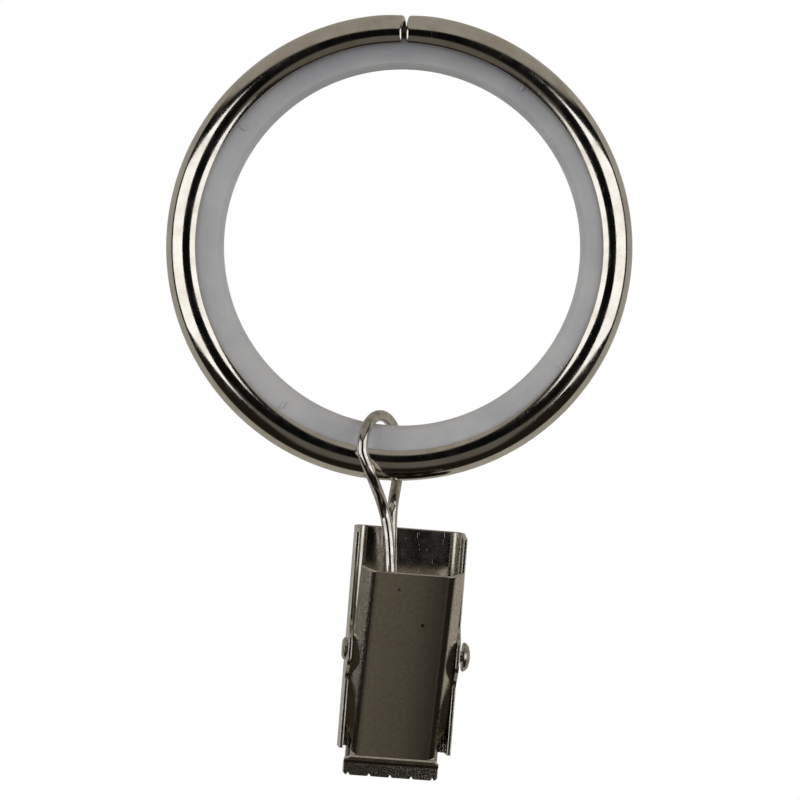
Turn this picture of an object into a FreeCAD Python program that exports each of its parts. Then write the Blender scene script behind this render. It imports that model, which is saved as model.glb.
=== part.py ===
import FreeCAD, Part
import math
import os
import sys

import Sketcher

# A lined metal curtain ring with a hanging spring clip.
# Millimetres, +Z up. The origin is the centre of the metal ring, the ring's axis lies along Y,
# and the clip hangs towards -Z with its lever side facing -Y.

# Alias, value and meaning of each driving size.
SIZES = [
    ("ring_core_radius", 23.95, "ring centre to the middle of the rolled tube"),
    ("tube_radius", 2.25, "outer radius of the rolled tube"),
    ("tube_wall", 0.4, "sheet of the rolled tube"),
    ("tube_lip_angle", 27.8, "how far each lip turns in past the tube's middle, degrees"),
    ("butt_gap", 0.5, "open butt joint of the ring"),
    ("butt_slant", 0.9, "how far the slanted butt joint shifts from the tube's front to its back"),
    ("butt_lean", 1.5, "butt joint's place, degrees right of the top"),
    ("liner_depth", 3.95, "from the tube's middle in to the liner's bore"),
    ("liner_shift", 0.31, "how far the liner sits off the ring's centre"),
    ("liner_crown_half", 1.5, "half width of the liner at its crown's shoulder"),
    ("liner_crown_height", 0.7, "height of the rounded crown"),
    ("liner_neck_half", 1.55, "half width of the liner in the tube's mouth"),
    ("liner_bead_half", 1.75, "half width of the bead inside the tube"),
    ("liner_neck_depth", 0.75, "from the lips' inner corner to the bead's shoulder"),
    ("liner_bead_height", 0.95, "height of the bead"),
    ("liner_rib_count", 4, "locating ribs round each flank"),
    ("liner_rib_angle", 53.0, "place of the first rib, degrees from +X"),
    ("liner_rib_thick", 0.3, "thickness of a rib"),
    ("liner_rib_proud", 0.22, "how far a rib stands off the flank"),
    ("liner_rib_length", 0.9, "radial length of a rib"),
    ("hang_gap", 0.35, "gap between the link's arch and the liner it hangs on"),
    ("wire_radius", 0.62, "radius of the link's wire"),
    ("loop_radius", 4.6, "radius of the link's arch at the wire's middle"),
    ("loop_yaw", 25.0, "turn of the link's arch about the vertical, degrees"),
    ("loop_x", -2.17, "place of the link along the ring"),
    ("leg_x", -1.03, "place of the link's legs across the clip"),
    ("leg_gap", 0.06, "gap between the two legs"),
    ("leg_yaw", 11.0, "turn of the pair of legs about the vertical, degrees"),
    ("shoulder_rise", 0.4, "from the arch's centre up to the start of each strand's lean"),
    ("front_lean_x", -3.15, "place of the front strand where it turns in to the legs"),
    ("front_lean_drop", 1.9, "depth of that turn below the arch's centre"),
    ("front_meet_x", -1.8, "place of the front strand where the legs meet"),
    ("front_meet_drop", 5.5, "depth of that meeting below the arch's centre"),
    ("back_lean_x", -0.12, "place of the back strand where it turns in to the legs"),
    ("back_lean_drop", 2.0, "depth of that turn below the arch's centre"),
    ("back_meet_x", -0.8, "place of the back strand where the legs meet"),
    ("back_meet_drop", 5.7, "depth of that meeting below the arch's centre"),
    ("jog_drop", 8.6, "from the arch's centre down to the straight legs in the clip"),
    ("eye_end_gap", 0.25, "gap between the wire's two ends"),
    ("pin_x", 0.38, "pivot's place across, from the ring's centre"),
    ("pin_drop", 21.55, "pivot's place below the lowest point of the tube's middle"),
    ("clip_roll", 4.6, "lean of the hanging clip in the ring's plane, degrees"),
    ("clip_yaw", 5.0, "turn of the hanging clip about the vertical, degrees"),
    ("pin_radius", 0.65, "radius of the rivet's shank"),
    ("pin_clearance", 0.06, "radial clearance round the shank"),
    ("head_radius", 1.65, "radius of the rivet's domed head"),
    ("head_thick", 0.9, "thickness of the domed head"),
    ("head_standoff", 0.4, "bare shank between the flange and the head"),
    ("peen_radius", 1.25, "radius of the peened end"),
    ("peen_thick", 0.45, "thickness of the peened end"),
    ("peen_standoff", 0.08, "gap between the flange and the peened end"),
    ("back_sheet", 0.42, "sheet of the back jaw"),
    ("back_width", 12.6, "outer width of the back jaw"),
    ("back_top", 13.9, "back jaw's top above the pivot"),
    ("back_plate_depth", 4.2, "pivot to the outer face of the back plate"),
    ("back_flange_depth", 4.4, "depth of the side flanges"),
    ("back_flange_foot", 11.15, "flanges' foot below the pivot"),
    ("back_bend", 0.5, "inner radius of the back jaw's bends"),
    ("back_neck_inset", 1.05, "from the back jaw's side in to its neck"),
    ("back_corner_drop", 0.75, "fall of the flanges' top edge from the plate to the front"),
    ("ear_radius", 1.9, "radius of the ears round the pivot"),
    ("front_sheet", 0.35, "sheet of the front jaw"),
    ("front_lean", 19.0, "lean of the closed front jaw, degrees"),
    ("front_standoff", 2.1, "pivot to the inner face of the front plate"),
    ("front_top", 10.35, "front jaw's top above the pivot, along the plate"),
    ("front_foot", 11.86, "end of the straight plate below the pivot"),
    ("front_bend", 1.2, "inner radius of the front jaw's side bends"),
    ("foot_bend", 0.35, "size of the bends at the front jaw's foot"),
    ("side_clearance", 0.08, "clearance between the front and back flanges"),
    ("skirt_spread", 1.35, "how far each slanted skirt spreads sideways"),
    ("skirt_depth", 1.45, "depth of the slanted skirts"),
    ("skirt_foot", 8.35, "start of the skirts' run-out below the pivot"),
    ("neck_start", 10.2, "start of the narrow neck below the pivot"),
    ("front_neck_inset", 1.45, "from the back jaw's side in to the front jaw's neck"),
    ("front_ear_radius", 1.6, "radius of the front jaw's ears"),
    ("lip_inset", 0.92, "from the back jaw's side in to the lips' ends"),
    ("lip_level", 12.75, "top of the lips below the pivot"),
    ("lip_end", 14.4, "lips' lower edge below the pivot"),
    ("lip_gap", 0.06, "gap between the closed lips"),
    ("lip_corner", 0.5, "corner radius of the lips"),
    ("notch_margin", 0.58, "from a lip's end in to its first notch"),
    ("notch_count", 5, "notches in each lip"),
    ("notch_width", 0.5, "width of a notch"),
    ("notch_height", 0.35, "height of a notch"),
    ("spring_wire_radius", 0.22, "radius of the spring's wire"),
    ("spring_coil_radius", 1.12, "radius of the spring's coil at the wire's middle"),
    ("spring_turns", 5, "whole turns of the spring"),
    ("spring_pitch", 0.5, "spacing of the spring's turns"),
    ("spring_start", 0.6, "start of the coil, right of the clip's middle"),
    ("spring_leg", 6.6, "length of each leg of the spring"),
    ("spring_seat", 0.08, "gap between a spring leg's end and its plate"),
]

doc = FreeCAD.newDocument("CurtainRing")
sheet = doc.addObject("Spreadsheet::Sheet", "Sizes")
for row, (alias, number, meaning) in enumerate(SIZES, start=1):
    sheet.set(f"A{row}", meaning)
    sheet.set(f"B{row}", str(number))
    sheet.setAlias(f"B{row}", alias)
doc.recompute()


def size(alias):
    """Return one driving size from the sheet."""
    return float(sheet.get(alias))


def result(formula):
    """Return the value of a formula written with the sheet's aliases."""
    return float(sheet.evalExpression(formula))


def bound(formula):
    """Return a formula with each alias spelled as a reference to the sheet."""
    words = sorted((alias for alias, number, meaning in SIZES), key=len, reverse=True)
    text = formula
    for index, word in enumerate(words):
        text = text.replace(word, f"<{index}>")
    for index, word in enumerate(words):
        text = text.replace(f"<{index}>", f"Sizes.{word}")
    return text


def origin_feature(body, role):
    """Return one of a body's own origin planes or axes."""
    return next(item for item in body.Origin.OriginFeatures if item.Role == role)


def new_body(label):
    """Make an empty body whose label names its node."""
    body = doc.addObject("PartDesign::Body", label)
    body.Label = label
    return body


def new_sketch(body, name, plane):
    """Attach an empty sketch to one of a body's origin planes."""
    sketch = body.newObject("Sketcher::SketchObject", name)
    sketch.AttachmentSupport = [(origin_feature(body, plane), "")]
    sketch.MapMode = "FlatFace"
    return sketch


def pin_point(sketch, geometry, end, across, up):
    """Hold one point of a sketch at two formulas of the sheet."""
    for kind, formula in (("DistanceX", across), ("DistanceY", up)):
        value = result(formula)
        index = sketch.addConstraint(Sketcher.Constraint(kind, -1, 1, geometry, end, value))
        sketch.setExpression(f"Constraints[{index}]", bound(formula))


def draw_outline(sketch, corners):
    """Draw a closed outline of straight lines, each corner held by two formulas."""
    points = [FreeCAD.Vector(result(across), result(up), 0) for across, up in corners]
    first = sketch.GeometryCount
    count = len(points)
    for index in range(count):
        line = Part.LineSegment(points[index], points[(index + 1) % count])
        sketch.addGeometry(line, False)
    for index in range(count):
        following = first + (index + 1) % count
        sketch.addConstraint(Sketcher.Constraint("Coincident", first + index, 2, following, 1))
    for index, (across, up) in enumerate(corners):
        pin_point(sketch, first + index, 1, across, up)


def draw_circle(sketch, across, up, radius):
    """Draw a circle whose centre and radius are held by formulas."""
    centre = FreeCAD.Vector(result(across), result(up), 0)
    circle = Part.Circle(centre, FreeCAD.Vector(0, 0, 1), result(radius))
    index = sketch.addGeometry(circle, False)
    pin_point(sketch, index, 3, across, up)
    number = sketch.addConstraint(Sketcher.Constraint("Radius", index, result(radius)))
    sketch.setExpression(f"Constraints[{number}]", bound(radius))


def pad(body, sketch, length):
    """Pad a sketch by a formula, half to each side."""
    feature = body.newObject("PartDesign::Pad", sketch.Name + "Pad")
    feature.Profile = sketch
    feature.SideType = "Symmetric"
    feature.Length = result(length)
    feature.setExpression("Length", bound(length))
    body.Tip = feature
    doc.recompute()
    return feature


def pocket(body, sketch, length):
    """Cut a sketch by a formula, half to each side, and check that it cut."""
    before = body.Shape.Volume
    feature = body.newObject("PartDesign::Pocket", sketch.Name + "Cut")
    feature.Profile = sketch
    feature.SideType = "Symmetric"
    feature.Length = result(length)
    feature.setExpression("Length", bound(length))
    body.Tip = feature
    doc.recompute()
    if not body.Shape.Volume < before:
        sys.exit(f"{feature.Name} cut nothing")
    return feature


def revolve(body, sketch, axis, angle):
    """Turn a sketch about one of its own axes, half to each side."""
    feature = body.newObject("PartDesign::Revolution", sketch.Name + "Turn")
    feature.Profile = sketch
    feature.ReferenceAxis = (sketch, [axis])
    feature.Midplane = True
    feature.Angle = result(angle)
    if angle != "360":
        feature.setExpression("Angle", bound(angle))
    body.Tip = feature
    doc.recompute()
    return feature


def round_edges(body, name, chosen, radius):
    """Fillet those edges of a body that a test picks out."""
    base = body.Tip
    edges = [f"Edge{number}" for number, edge in enumerate(base.Shape.Edges, start=1) if chosen(edge)]
    if not edges:
        sys.exit(f"{name} found no edges")
    feature = body.newObject("PartDesign::Fillet", name)
    feature.Base = (base, edges)
    feature.Radius = result(radius)
    feature.setExpression("Radius", bound(radius))
    body.Tip = feature
    doc.recompute()
    return feature


def straight_along(edge, direction, places):
    """Tell whether an edge runs along a direction through one of some places in the other two axes."""
    if edge.Curve.TypeId != "Part::GeomLine" or len(edge.Vertexes) != 2:
        return False
    start, end = (vertex.Point for vertex in edge.Vertexes)
    if abs((end - start).normalize().dot(direction)) < 0.9999:
        return False
    kept = [axis for axis in range(3) if abs(direction[axis]) < 0.5]
    return any(all(abs(start[axis] - place[i]) < 0.02 for i, axis in enumerate(kept)) for place in places)


def mirrored(corners):
    """Return an outline's mirror image in the upright axis."""
    return [(f"-({across})", up) for across, up in corners]


# The rolled tube is a gutter: an arc of sheet whose lips face the ring's centre.
ring = new_body("ring_shell")
gutter = new_sketch(ring, "GutterSection", "YZ_Plane")
core = FreeCAD.Vector(0, -size("ring_core_radius"), 0)
lip = math.radians(size("tube_lip_angle"))
gutter_inner = size("tube_radius") - size("tube_wall")
arc_start = math.pi - lip
arc_end = 2 * math.pi + lip
for arc_radius in (size("tube_radius"), gutter_inner):
    whole = Part.Circle(core, FreeCAD.Vector(0, 0, 1), arc_radius)
    gutter.addGeometry(Part.ArcOfCircle(whole, arc_start, arc_end), False)


def lip_point(radius, angle):
    """Return a point of the gutter's section in the sketch."""
    return core + FreeCAD.Vector(radius * math.cos(angle), radius * math.sin(angle), 0)


for lip_end_angle in (arc_start, arc_end):
    outer_point = lip_point(size("tube_radius"), lip_end_angle)
    inner_point = lip_point(gutter_inner, lip_end_angle)
    gutter.addGeometry(Part.LineSegment(outer_point, inner_point), False)
for arc, end, line, line_end in ((0, 1, 2, 1), (1, 1, 2, 2), (0, 2, 3, 1), (1, 2, 3, 2)):
    gutter.addConstraint(Sketcher.Constraint("Coincident", arc, end, line, line_end))
pin_point(gutter, 0, 3, "0", "-ring_core_radius")
gutter.addConstraint(Sketcher.Constraint("Coincident", 0, 3, 1, 3))
for arc, formula in ((0, "tube_radius"), (1, "tube_radius - tube_wall")):
    held = gutter.addConstraint(Sketcher.Constraint("Radius", arc, result(formula)))
    gutter.setExpression(f"Constraints[{held}]", bound(formula))
lip_level = "-ring_core_radius + tube_radius * sin(tube_lip_angle)"
for end in (1, 2):
    held = gutter.addConstraint(Sketcher.Constraint("DistanceY", -1, 1, 0, end, result(lip_level)))
    gutter.setExpression(f"Constraints[{held}]", bound(lip_level))
inner_level = "-ring_core_radius + (tube_radius - tube_wall) * sin(tube_lip_angle)"
for end in (1, 2):
    held = gutter.addConstraint(Sketcher.Constraint("DistanceY", -1, 1, 1, end, result(inner_level)))
    gutter.setExpression(f"Constraints[{held}]", bound(inner_level))
doc.recompute()
revolve(ring, gutter, "H_Axis", "360")
slot = new_sketch(ring, "ButtSlot", "XY_Plane")
slot.AttachmentOffset = FreeCAD.Placement(
    FreeCAD.Vector(0, 0, size("ring_core_radius")), FreeCAD.Rotation()
)
slot.setExpression(".AttachmentOffset.Base.z", "Sizes.ring_core_radius")
draw_outline(slot, [
    ("butt_slant - butt_gap / 2", "-2 * tube_radius"),
    ("butt_slant + butt_gap / 2", "-2 * tube_radius"),
    ("butt_gap / 2 - butt_slant", "2 * tube_radius"),
    ("-butt_gap / 2 - butt_slant", "2 * tube_radius"),
])
doc.recompute()
pocket(ring, slot, "4 * tube_radius")
ring.Placement = FreeCAD.Placement(
    FreeCAD.Vector(0, 0, 0), FreeCAD.Rotation(FreeCAD.Vector(0, 1, 0), size("butt_lean"))
)

# The moulded liner: a bead that snaps into the tube, a neck in its mouth and a rounded crown.
liner = new_body("liner")
section = new_sketch(liner, "LinerSection", "YZ_Plane")
mouth = "ring_core_radius - (tube_radius - tube_wall) * sin(tube_lip_angle)"
bead_low = f"({mouth} + liner_neck_depth)"
bead_high = f"({mouth} + liner_neck_depth + liner_bead_height)"
bore_radius = result("ring_core_radius - liner_depth")
shoulder = "(ring_core_radius - liner_depth + liner_crown_height)"
half_section = [
    ("liner_crown_half", f"-{shoulder}"),
    ("liner_neck_half", f"-({mouth} - tube_wall)"),
    ("liner_neck_half", f"-({bead_low})"),
    ("liner_bead_half", f"-({bead_low} + 0.2 * liner_bead_height)"),
    ("0.7 * liner_bead_half", f"-{bead_high}"),
]
chain = half_section + [(f"-({across})", up) for across, up in reversed(half_section)]
chain_points = [FreeCAD.Vector(result(across), result(up), 0) for across, up in chain]
for index in range(len(chain) - 1):
    section.addGeometry(Part.LineSegment(chain_points[index], chain_points[index + 1]), False)
crown_radius = "(liner_crown_half ^ 2 + liner_crown_height ^ 2) / (2 * liner_crown_height)"
crown_middle = FreeCAD.Vector(0, -bore_radius - result(crown_radius), 0)
crown_circle = Part.Circle(crown_middle, FreeCAD.Vector(0, 0, 1), result(crown_radius))
crown_start = math.acos(size("liner_crown_half") / result(crown_radius))
crown = len(chain) - 1
section.addGeometry(Part.ArcOfCircle(crown_circle, crown_start, math.pi - crown_start), False)
for index in range(len(chain) - 2):
    section.addConstraint(Sketcher.Constraint("Coincident", index, 2, index + 1, 1))
section.addConstraint(Sketcher.Constraint("Coincident", crown, 1, 0, 1))
section.addConstraint(Sketcher.Constraint("Coincident", crown, 2, crown - 1, 2))
for index, (across, up) in enumerate(chain[:-1]):
    pin_point(section, index, 1, across, up)
pin_point(section, crown - 1, 2, *chain[-1])
held = section.addConstraint(Sketcher.Constraint("Radius", crown, result(crown_radius)))
section.setExpression(f"Constraints[{held}]", bound(crown_radius))
doc.recompute()
revolve(liner, section, "H_Axis", "360")

# Small moulded ribs round both flanks, seated on the lips' inner edges.
rib = new_sketch(liner, "RibFace", "XZ_Plane")
rib_foot = f"({mouth} - tube_wall - liner_rib_length)"
rib_head = f"({mouth} - tube_wall)"
draw_outline(rib, [
    (rib_foot, "-liner_rib_thick / 2"),
    (rib_head, "-liner_rib_thick / 2"),
    (rib_head, "liner_rib_thick / 2"),
    (rib_foot, "liner_rib_thick / 2"),
])
doc.recompute()
rib_pad = pad(liner, rib, "2 * (liner_neck_half + liner_rib_proud)")
ribs = liner.newObject("PartDesign::PolarPattern", "Ribs")
ribs.Originals = [rib_pad]
ribs.Axis = (origin_feature(liner, "Y_Axis"), [""])
ribs.Angle = 360
ribs.Occurrences = int(size("liner_rib_count"))
ribs.setExpression("Occurrences", "Sizes.liner_rib_count")
liner.Tip = ribs
doc.recompute()
liner.Placement = FreeCAD.Placement(
    FreeCAD.Vector(size("liner_shift"), 0, 0),
    FreeCAD.Rotation(FreeCAD.Vector(0, 1, 0), -size("liner_rib_angle")),
)

# The clip's own frame: its origin on the pivot, X along the pivot, Y to the back, Z up the clip.
clip_turn = FreeCAD.Rotation(FreeCAD.Vector(0, 0, 1), size("clip_yaw")).multiply(
    FreeCAD.Rotation(FreeCAD.Vector(0, 1, 0), size("clip_roll"))
)
pivot = FreeCAD.Vector(size("pin_x"), 0, -result("ring_core_radius + pin_drop"))
clip_place = FreeCAD.Placement(pivot, clip_turn)
front_turn = FreeCAD.Rotation(FreeCAD.Vector(1, 0, 0), size("front_lean"))
front_place = clip_place.multiply(FreeCAD.Placement(FreeCAD.Vector(0, 0, 0), front_turn))

# The back jaw: a folded channel, its flanges towards the front, narrowed to a neck and a lip.
back = new_body("back_jaw")
plate_out = "back_plate_depth"
plate_in = "(back_plate_depth - back_sheet)"
flange_front = "(back_plate_depth - back_flange_depth)"
side = new_sketch(back, "BackSide", "YZ_Plane")
draw_outline(side, [
    (plate_out, "back_top"),
    (flange_front, "back_top - back_corner_drop"),
    (flange_front, "1.6 * ear_radius"),
    ("-ear_radius", "0.75 * ear_radius"),
    ("-ear_radius", "-0.75 * ear_radius"),
    (flange_front, "-1.6 * ear_radius"),
    (flange_front, "-back_flange_foot"),
    (plate_in, "-back_flange_foot"),
    (plate_in, "-lip_end"),
    (plate_out, "-lip_end"),
])
doc.recompute()
pad(back, side, "back_width")
hollow = new_sketch(back, "BackHollow", "YZ_Plane")
draw_outline(hollow, [
    (plate_in, "back_top + 5"),
    ("-back_plate_depth", "back_top + 5"),
    ("-back_plate_depth", "-lip_end - 5"),
    (plate_in, "-lip_end - 5"),
])
doc.recompute()
pocket(back, hollow, "back_width - 2 * back_sheet")

lip_half = "(back_width / 2 - lip_inset)"
neck_half = "(back_width / 2 - back_neck_inset)"
back_neck = [
    ("back_width", "-back_flange_foot"),
    (neck_half, "-back_flange_foot"),
    (neck_half, "-lip_level"),
    (lip_half, f"-lip_level + {neck_half} - {lip_half}"),
    (lip_half, "-lip_end - 5"),
    ("back_width", "-lip_end - 5"),
]
for mirror_name, corners in (("BackNeckRight", back_neck), ("BackNeckLeft", mirrored(back_neck))):
    sketch = new_sketch(back, mirror_name, "XZ_Plane")
    draw_outline(sketch, corners)
    doc.recompute()
    pocket(back, sketch, "4 * back_plate_depth")

upright = FreeCAD.Vector(0, 0, 1)
crosswise = FreeCAD.Vector(1, 0, 0)
inner_x = size("back_width") / 2 - size("back_sheet")
inner_y = size("back_plate_depth") - size("back_sheet")
round_edges(
    back, "BackInnerBend",
    lambda edge: straight_along(edge, upright, [(inner_x, inner_y), (-inner_x, inner_y)]),
    "back_bend",
)
outer_x = size("back_width") / 2
outer_y = size("back_plate_depth")
round_edges(
    back, "BackOuterBend",
    lambda edge: straight_along(edge, upright, [(outer_x, outer_y), (-outer_x, outer_y)]),
    "back_bend + back_sheet",
)
ear_x = [
    (-size("ear_radius"), 0.75 * size("ear_radius")),
    (-size("ear_radius"), -0.75 * size("ear_radius")),
    (result(flange_front), 1.6 * size("ear_radius")),
    (result(flange_front), -1.6 * size("ear_radius")),
]
round_edges(
    back, "BackEarRound",
    lambda edge: straight_along(edge, crosswise, ear_x),
    "0.6 * ear_radius",
)


def pin_holes(body, name):
    """Bore the pivot's holes through a jaw's two sides."""
    sketch = new_sketch(body, name, "YZ_Plane")
    draw_circle(sketch, "0", "0", "pin_radius + pin_clearance")
    doc.recompute()
    pocket(body, sketch, "2 * back_width")


def lip_notches(body, name, level):
    """Cut a row of small notches into a jaw's lower edge."""
    sketch = new_sketch(body, name, "XZ_Plane")
    reach = f"({lip_half} - notch_margin)"
    first = f"-{reach}"
    draw_outline(sketch, [
        (f"{first} - notch_width / 2", f"-({level}) - 1"),
        (f"{first} + notch_width / 2", f"-({level}) - 1"),
        (f"{first} + notch_width / 2", f"-({level})"),
        (first, f"-({level}) + notch_height"),
        (f"{first} - notch_width / 2", f"-({level})"),
    ])
    doc.recompute()
    cut = pocket(body, sketch, "4 * back_plate_depth")
    row_of_cuts = body.newObject("PartDesign::LinearPattern", name + "Row")
    row_of_cuts.Originals = [cut]
    row_of_cuts.Direction = (origin_feature(body, "X_Axis"), [""])
    row_of_cuts.Length = result(f"2 * {reach}")
    row_of_cuts.setExpression("Length", bound(f"2 * {reach}"))
    row_of_cuts.Occurrences = int(size("notch_count"))
    row_of_cuts.setExpression("Occurrences", "Sizes.notch_count")
    body.Tip = row_of_cuts
    doc.recompute()


def round_lip_corners(body, name, level):
    """Round the two outer corners of a jaw's lower edge, seen from the front."""
    def at_corner(edge):
        centre = edge.CenterOfMass
        at_side = abs(abs(centre.x) - result(lip_half)) < 0.01
        upright_edge = abs(edge.tangentAt(edge.FirstParameter).x) < 0.01
        low = max(vertex.Point.z for vertex in edge.Vertexes) < -level + 0.02
        return at_side and upright_edge and low
    round_edges(body, name, at_corner, "lip_corner")


pin_holes(back, "BackPinHole")
round_lip_corners(back, "BackLipCorners", size("lip_end"))
lip_notches(back, "BackNotch", "lip_end")
back.Placement = clip_place

# The front jaw, drawn upright in its own frame and leaned as a whole when closed.
front = new_body("front_jaw")
plate_y = "(front_standoff + front_sheet)"
half_out = "(back_width / 2 - back_sheet - side_clearance)"
half_plate = f"({half_out} - skirt_spread)"
skirt_end = f"({plate_y} - skirt_depth)"
slant = "(skirt_depth ^ 2 + skirt_spread ^ 2) ^ 0.5"
inset = f"(front_sheet * ({slant} - skirt_depth) / skirt_spread)"
channel = new_sketch(front, "FrontSection", "XY_Plane")
right_wall = [
    (half_plate, f"-{plate_y}"),
    (half_out, f"-{skirt_end}"),
    (half_out, "front_ear_radius + 1"),
    (f"{half_out} - front_sheet", "front_ear_radius + 1"),
    (f"{half_out} - front_sheet", f"-({skirt_end}) + {inset}"),
    (f"{half_plate} - {inset}", "-front_standoff"),
]
draw_outline(channel, right_wall + [(f"-({across})", up) for across, up in reversed(right_wall)])
doc.recompute()
channel_pad = front.newObject("PartDesign::Pad", "FrontChannel")
channel_pad.Profile = channel
channel_pad.SideType = "Two sides"
channel_pad.Length = size("front_top")
channel_pad.setExpression("Length", "Sizes.front_top")
channel_pad.Length2 = size("front_foot")
channel_pad.setExpression("Length2", "Sizes.front_foot")
front.Tip = channel_pad
doc.recompute()

# The skirts' depth seen from the side, with an ear left round the pivot.
skirt_back = f"(-({skirt_end}) + 0.25)"
above = new_sketch(front, "AboveEars", "YZ_Plane")
draw_outline(above, [
    (skirt_back, "front_top + 5"),
    (skirt_back, "2.1 * front_ear_radius"),
    ("0.35 * front_ear_radius", "front_ear_radius"),
    ("front_ear_radius", "0.45 * front_ear_radius"),
    ("front_ear_radius", "-0.45 * front_ear_radius"),
    ("0.35 * front_ear_radius", "-front_ear_radius"),
    (skirt_back, "-2.1 * front_ear_radius"),
    (skirt_back, "-front_foot - 5"),
    ("5 * front_ear_radius", "-front_foot - 5"),
    ("5 * front_ear_radius", "front_top + 5"),
])
doc.recompute()
pocket(front, above, "2 * back_width")
bend_x = result(half_plate)
inner_bend_x = result(f"{half_plate} - {inset}")
round_edges(
    front, "FrontInnerBend",
    lambda edge: straight_along(edge, upright, [
        (inner_bend_x, -size("front_standoff")), (-inner_bend_x, -size("front_standoff")),
    ]),
    "front_bend",
)
round_edges(
    front, "FrontOuterBend",
    lambda edge: straight_along(edge, upright, [
        (bend_x, -result(plate_y)), (-bend_x, -result(plate_y)),
    ]),
    "front_bend + front_sheet",
)

# The foot: a step back from the plate and a lip that meets the back jaw's lip.
lean_cos = "cos(front_lean)"
lean_sin = "sin(front_lean)"
lip_out = "(back_plate_depth - back_sheet - lip_gap - front_sheet)"
lip_in = "(back_plate_depth - back_sheet - lip_gap)"


def leaned(depth, level):
    """Return the front jaw's own coordinates of a point given in the clip's frame."""
    across = f"(({depth}) * {lean_cos} + ({level}) * {lean_sin})"
    up = f"(({level}) * {lean_cos} - ({depth}) * {lean_sin})"
    return across, up


foot = new_sketch(front, "FrontFoot", "YZ_Plane")
draw_outline(foot, [
    (f"-{plate_y}", "-front_foot + 0.01"),
    (f"-{plate_y}", "-front_foot"),
    (f"-{plate_y} + 0.57 * foot_bend", "-front_foot - 0.86 * foot_bend"),
    leaned(f"{lip_out} - 0.8 * foot_bend", "-lip_level + 0.29 * foot_bend"),
    leaned(lip_out, "-lip_level - 0.86 * foot_bend"),
    leaned(lip_out, "-lip_end"),
    leaned(lip_in, "-lip_end"),
    leaned(lip_in, "-lip_level - 0.29 * foot_bend"),
    leaned(f"{lip_in} - 0.8 * foot_bend", "-lip_level + 0.89 * foot_bend"),
    ("-front_standoff + 0.66 * foot_bend", "-front_foot - 0.29 * foot_bend"),
    ("-front_standoff", "-front_foot + 0.89 * foot_bend"),
])
doc.recompute()
pad(front, foot, f"2 * {lip_half}")

front_neck_half = "(back_width / 2 - front_neck_inset)"
front_neck = [
    ("back_width", "-skirt_foot"),
    (half_out, "-skirt_foot"),
    (f"{half_out} - 0.15", "-skirt_foot - 0.45"),
    (f"{front_neck_half} + 0.2", "-neck_start + 0.4"),
    (front_neck_half, "-neck_start"),
    (front_neck_half, "-front_foot - 0.5"),
    (lip_half, "-front_foot - 1"),
    (lip_half, "-lip_end - 5"),
    ("back_width", "-lip_end - 5"),
]
for mirror_name, corners in (("FrontNeckRight", front_neck), ("FrontNeckLeft", mirrored(front_neck))):
    sketch = new_sketch(front, mirror_name, "XZ_Plane")
    draw_outline(sketch, corners)
    doc.recompute()
    pocket(front, sketch, "8 * back_plate_depth")

pin_holes(front, "FrontPinHole")
front_lip_level = f"-({leaned(lip_out, '-lip_end')[1]})"
round_lip_corners(front, "FrontLipCorners", result(front_lip_level))
lip_notches(front, "FrontNotch", f"{front_lip_level} + 0.06")
front.Placement = front_place

# The rivet: a domed head on the right, a bare stretch, the shank and a peened end on the left.
rivet = new_body("rivet")
turned = new_sketch(rivet, "RivetProfile", "XY_Plane")
right_face = "back_width / 2"
head_base = f"({right_face} + head_standoff)"
peen_base = f"(-{right_face} - peen_standoff)"
draw_outline(turned, [
    (f"{peen_base} - peen_thick", "0"),
    (f"{peen_base} - peen_thick", "0.75 * peen_radius"),
    (f"{peen_base} - 0.6 * peen_thick", "peen_radius"),
    (peen_base, "peen_radius"),
    (peen_base, "pin_radius"),
    (head_base, "pin_radius"),
    (head_base, "0.92 * head_radius"),
    (f"{head_base} + 0.12 * head_thick", "head_radius"),
    (f"{head_base} + 0.4 * head_thick", "0.97 * head_radius"),
    (f"{head_base} + 0.75 * head_thick", "0.76 * head_radius"),
    (f"{head_base} + 0.95 * head_thick", "0.4 * head_radius"),
    (f"{head_base} + head_thick", "0"),
])
doc.recompute()
revolve(rivet, turned, "H_Axis", "360")
rivet.Placement = clip_place


def rounded_route(points, radii):
    """Return a wire of straight runs joined by tangent arcs at each inner point."""
    edges = []
    start = points[0]
    for before, corner, after, radius in zip(points, points[1:], points[2:], radii):
        inward = (before - corner).normalize()
        outward = (after - corner).normalize()
        half_angle = inward.getAngle(outward) / 2
        setback = radius / math.tan(half_angle)
        arc_from = corner + inward * setback
        arc_to = corner + outward * setback
        middle_way = (inward + outward).normalize()
        arc_middle = corner + middle_way * (radius / math.sin(half_angle) - radius)
        if (arc_from - start).Length > 1e-6:
            edges.append(Part.LineSegment(start, arc_from).toShape())
        edges.append(Part.Arc(arc_from, arc_middle, arc_to).toShape())
        start = arc_to
    if (points[-1] - start).Length > 1e-6:
        edges.append(Part.LineSegment(start, points[-1]).toShape())
    return Part.Wire(edges)


def swept_wire(label, path, radius, placement):
    """Sweep a round wire of the given radius along a path."""
    spine = doc.addObject("Part::Feature", label + "_path")
    spine.Shape = path
    disc = doc.addObject("Part::Circle", label + "_section")
    disc.Radius = result(radius)
    disc.setExpression("Radius", bound(radius))
    first = path.OrderedEdges[0]
    tangent = first.tangentAt(first.FirstParameter)
    disc.Placement = FreeCAD.Placement(
        first.valueAt(first.FirstParameter),
        FreeCAD.Rotation(FreeCAD.Vector(0, 0, 1), tangent),
    )
    sweep = doc.addObject("Part::Sweep", label)
    sweep.Label = label
    sweep.Sections = [disc]
    sweep.Spine = (spine, [f"Edge{number + 1}" for number in range(len(path.Edges))])
    sweep.Solid = True
    sweep.Frenet = False
    sweep.Placement = placement
    doc.recompute()
    return sweep


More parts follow.
